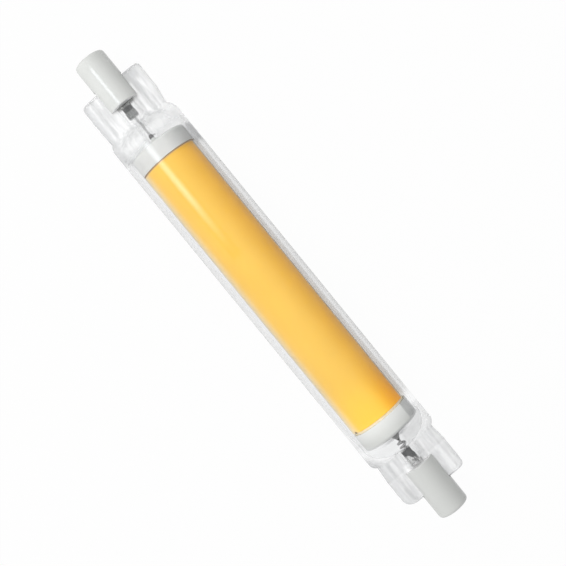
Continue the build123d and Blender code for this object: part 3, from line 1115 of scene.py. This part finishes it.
def boardFinish():
    finish = startFinish("solderMask", {"Coat Weight": 0.3, "Coat Roughness": 0.2})
    tracks = addNode(finish, "ShaderNodeTexBrick", {
        "Vector": place(finish), "Color1": (0.02, 0.13, 0.05, 1), "Color2": (0.025, 0.16, 0.065, 1),
        "Mortar": (0.06, 0.26, 0.1, 1), "Scale": 1 / (9 * mm), "Mortar Size": 0.03, "Mortar Smooth": 0.2,
    })
    wire(finish, tracks.outputs["Color"], "Base Color")
    wire(finish, ramp(finish, grain(finish, 1, 3), 0.3, 0.45), "Roughness")
    roughen(finish, tracks.outputs["Fac"], 0.2, 0.03)
    return finish


nodeFinishes = {
    "cap_cement_left": plainFinish("mattCement", 0.7, (0.58, 0.58, 0.56), (0.68, 0.68, 0.66), 0.75, 0.95, 0.4),
    "led_chips": plainFinish("ledChip", 0.5, (0.3, 0.36, 0.5), (0.42, 0.5, 0.62), 0.15, 0.3, 0.05),
    "driver_board": boardFinish(),
    "bridge_rectifier": plainFinish(
        "mouldingCompound", 0.4, (0.018, 0.018, 0.02), (0.04, 0.04, 0.044), 0.5, 0.7, 0.25
    ),
    "chip_resistors": plainFinish("resistorCoat", 0.5, (0.03, 0.03, 0.035), (0.07, 0.07, 0.075), 0.3, 0.5, 0.1),
    "fuse_resistor": plainFinish("fuseBody", 0.8, (0.5, 0.43, 0.3), (0.62, 0.55, 0.4), 0.4, 0.6, 0.15),
    "feed_pin_left": plainFinish(
        "platedPin", 0.4, (0.62, 0.5, 0.22), (0.75, 0.62, 0.3), 0.2, 0.35, 0.05, {"Metallic": 1.0}
    ),
}
nodeFinishes["cap_cement_right"] = nodeFinishes["cap_cement_left"]
nodeFinishes["current_regulators"] = nodeFinishes["bridge_rectifier"]
nodeFinishes["feed_pin_right"] = nodeFinishes["feed_pin_left"]
for node, finish in nodeFinishes.items():
    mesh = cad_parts[node].data
    mesh.materials.clear()
    mesh.materials.append(finish)
print("finishes set on", len(nodeFinishes), "nodes")


# floor, light and camera

studio = {
    "floorDepth": 8.02,
    "floorHalf": 1500,
    "floorGlow": 0.97,  # share of the floor that shows as plain white
    "floorGloss": 0.6,  # the same in reflections, as a part of that
    "floorColour": (0.65, 0.65, 0.65, 1),
    "skyTop": 0.5,
    "skyEdge": 0.75,
    "skyTilt": 0.2,  # brighter towards -Y
    "skyThrough": 0.88,  # as seen through the glass
}
lamps = {
    # place and aim in millimetres, size of the soft box, watts
    "keyBox": ((-120, -130, 350), (0, 0, 0), (220, 220), 0.92),
    "topBox": ((-60, -40, 520), (0, 0, 0), (420, 420), 0.3),
}
strip = {
    # long reflector that the glass mirrors as one bright line, fading to the right
    "height": 300,
    "lean": 25.0,  # degrees from straight above, towards -Y
    "halfWide": 95,
    "from": -170,
    "full": -80,
    "to": -24,
    "glow": 7.0,
    "colour": (0.9, 0.94, 1.0, 1),
}
view = {"place": (1.36, 1.92, 205), "turn": 50.75, "lens": 64.03, "sensor": 36}


def makeFloor():
    half, depth = studio["floorHalf"], -studio["floorDepth"]
    corners = [(-half, -half, depth), (half, -half, depth), (half, half, depth), (-half, half, depth)]
    floor = addPiece("floor", corners, [(0, 1, 2, 3)])
    finish = bpy.data.materials.new("paleFloor")
    finish.use_nodes = True
    tree = finish.node_tree
    tree.nodes.remove(tree.nodes["Principled BSDF"])
    path = addNode(finish, "ShaderNodeLightPath").outputs
    mirrored = times(finish, path["Is Glossy Ray"], studio["floorGloss"])
    seen = maths(finish, "MAXIMUM", path["Is Camera Ray"], mirrored)
    seen = maths(finish, "MAXIMUM", seen, path["Is Transmission Ray"])
    matt = addNode(finish, "ShaderNodeBsdfDiffuse", {"Color": studio["floorColour"]})
    glow = addNode(finish, "ShaderNodeEmission", {"Strength": 1.0})
    both = addNode(finish, "ShaderNodeMixShader", {0: times(finish, seen, studio["floorGlow"])})
    tree.links.new(matt.outputs[0], both.inputs[1])
    tree.links.new(glow.outputs[0], both.inputs[2])
    tree.links.new(both.outputs[0], tree.nodes["Material Output"].inputs["Surface"])
    floor.data.materials.append(finish)


def makeSky():
    sky = bpy.data.worlds.new("studioSky")
    bpy.context.scene.world = sky
    sky.use_nodes = True
    tree = sky.node_tree
    tree.nodes.clear()
    where = addNode(sky, "ShaderNodeTexCoord").outputs["Generated"]
    parts = addNode(sky, "ShaderNodeSeparateXYZ", {"Vector": where}).outputs
    level = ramp(sky, parts["Z"], studio["skyEdge"], studio["skyTop"], 0.0, 0.6)
    level = plus(sky, level, times(sky, parts["Y"], -studio["skyTilt"]))
    path = addNode(sky, "ShaderNodeLightPath").outputs
    through = {0: path["Is Transmission Ray"], 2: level, 3: studio["skyThrough"]}
    level = addNode(sky, "ShaderNodeMix", through).outputs[0]
    light = addNode(sky, "ShaderNodeBackground", {"Strength": level})
    white = addNode(sky, "ShaderNodeBackground", {"Strength": 1.0})
    for background in (light, white):
        background.inputs["Color"].default_value = (1, 1, 1, 1)
    both = addNode(sky, "ShaderNodeMixShader", {0: path["Is Camera Ray"]})
    tree.links.new(light.outputs[0], both.inputs[1])
    tree.links.new(white.outputs[0], both.inputs[2])
    output = addNode(sky, "ShaderNodeOutputWorld")
    tree.links.new(both.outputs[0], output.inputs["Surface"])
    sky.cycles.sampling_method = "NONE"


def makeLamp(name, spot, aim, size, power):
    data = bpy.data.lights.new(name, "AREA")
    data.shape = "RECTANGLE"
    data.size, data.size_y = size[0] * mm, size[1] * mm
    data.energy = power
    data.cycles.use_multiple_importance_sampling = False  # the glass would hide half of it from the core
    lamp = bpy.data.objects.new(name, data)
    bpy.context.scene.collection.objects.link(lamp)
    lamp.location = Vector(spot) * mm
    back = (Vector(spot) - Vector(aim)).normalized()
    lamp.rotation_mode = "QUATERNION"
    lamp.rotation_quaternion = back.to_track_quat("Z", "Y")
    for ray in ("camera", "glossy", "transmission"):
        setattr(lamp, "visible_" + ray, False)


def makeStrip():
    lean = math.radians(strip["lean"])
    middle = Vector((0, -math.sin(lean), math.cos(lean))) * strip["height"] / math.cos(lean)
    across = Vector((0, math.cos(lean), math.sin(lean))) * strip["halfWide"]
    corners = [middle + across * side + Vector((x, 0, 0)) for x, side in (
        (strip["from"], -1), (strip["to"], -1), (strip["to"], 1), (strip["from"], 1),
    )]
    card = addPiece("stripCard", corners, [(0, 1, 2, 3)])
    finish = bpy.data.materials.new("stripGlow")
    finish.use_nodes = True
    tree = finish.node_tree
    tree.nodes.remove(tree.nodes["Principled BSDF"])
    along = times(finish, stretchOf(finish, "X", strip["to"], strip["full"]), strip["glow"])
    middleY = -strip["height"] * math.tan(lean)
    reach = strip["halfWide"] * math.cos(lean)
    level = times(finish, along, stretchOf(finish, "Y", middleY - reach, middleY))
    level = times(finish, level, stretchOf(finish, "Y", middleY + reach, middleY))
    glow = addNode(finish, "ShaderNodeEmission", {"Color": strip["colour"], "Strength": level})
    tree.links.new(glow.outputs[0], tree.nodes["Material Output"].inputs["Surface"])
    finish.cycles.emission_sampling = "NONE"
    card.data.materials.append(finish)
    for ray in ("camera", "diffuse", "transmission", "shadow", "volume_scatter"):
        setattr(card, "visible_" + ray, False)


def makeCamera():
    data = bpy.data.cameras.new("camera")
    data.lens, data.sensor_width = view["lens"], view["sensor"]
    data.clip_start, data.clip_end = 0.01, 20
    camera = bpy.data.objects.new("camera", data)
    bpy.context.scene.collection.objects.link(camera)
    camera.location = Vector(view["place"]) * mm
    camera.rotation_euler = (0, 0, math.radians(view["turn"]))
    bpy.context.scene.camera = camera


makeFloor()
makeSky()
for name, lamp in lamps.items():
    makeLamp(name, *lamp)
makeStrip()
makeCamera()
bpy.context.scene.view_settings.view_transform = "Standard"
print("studio set")
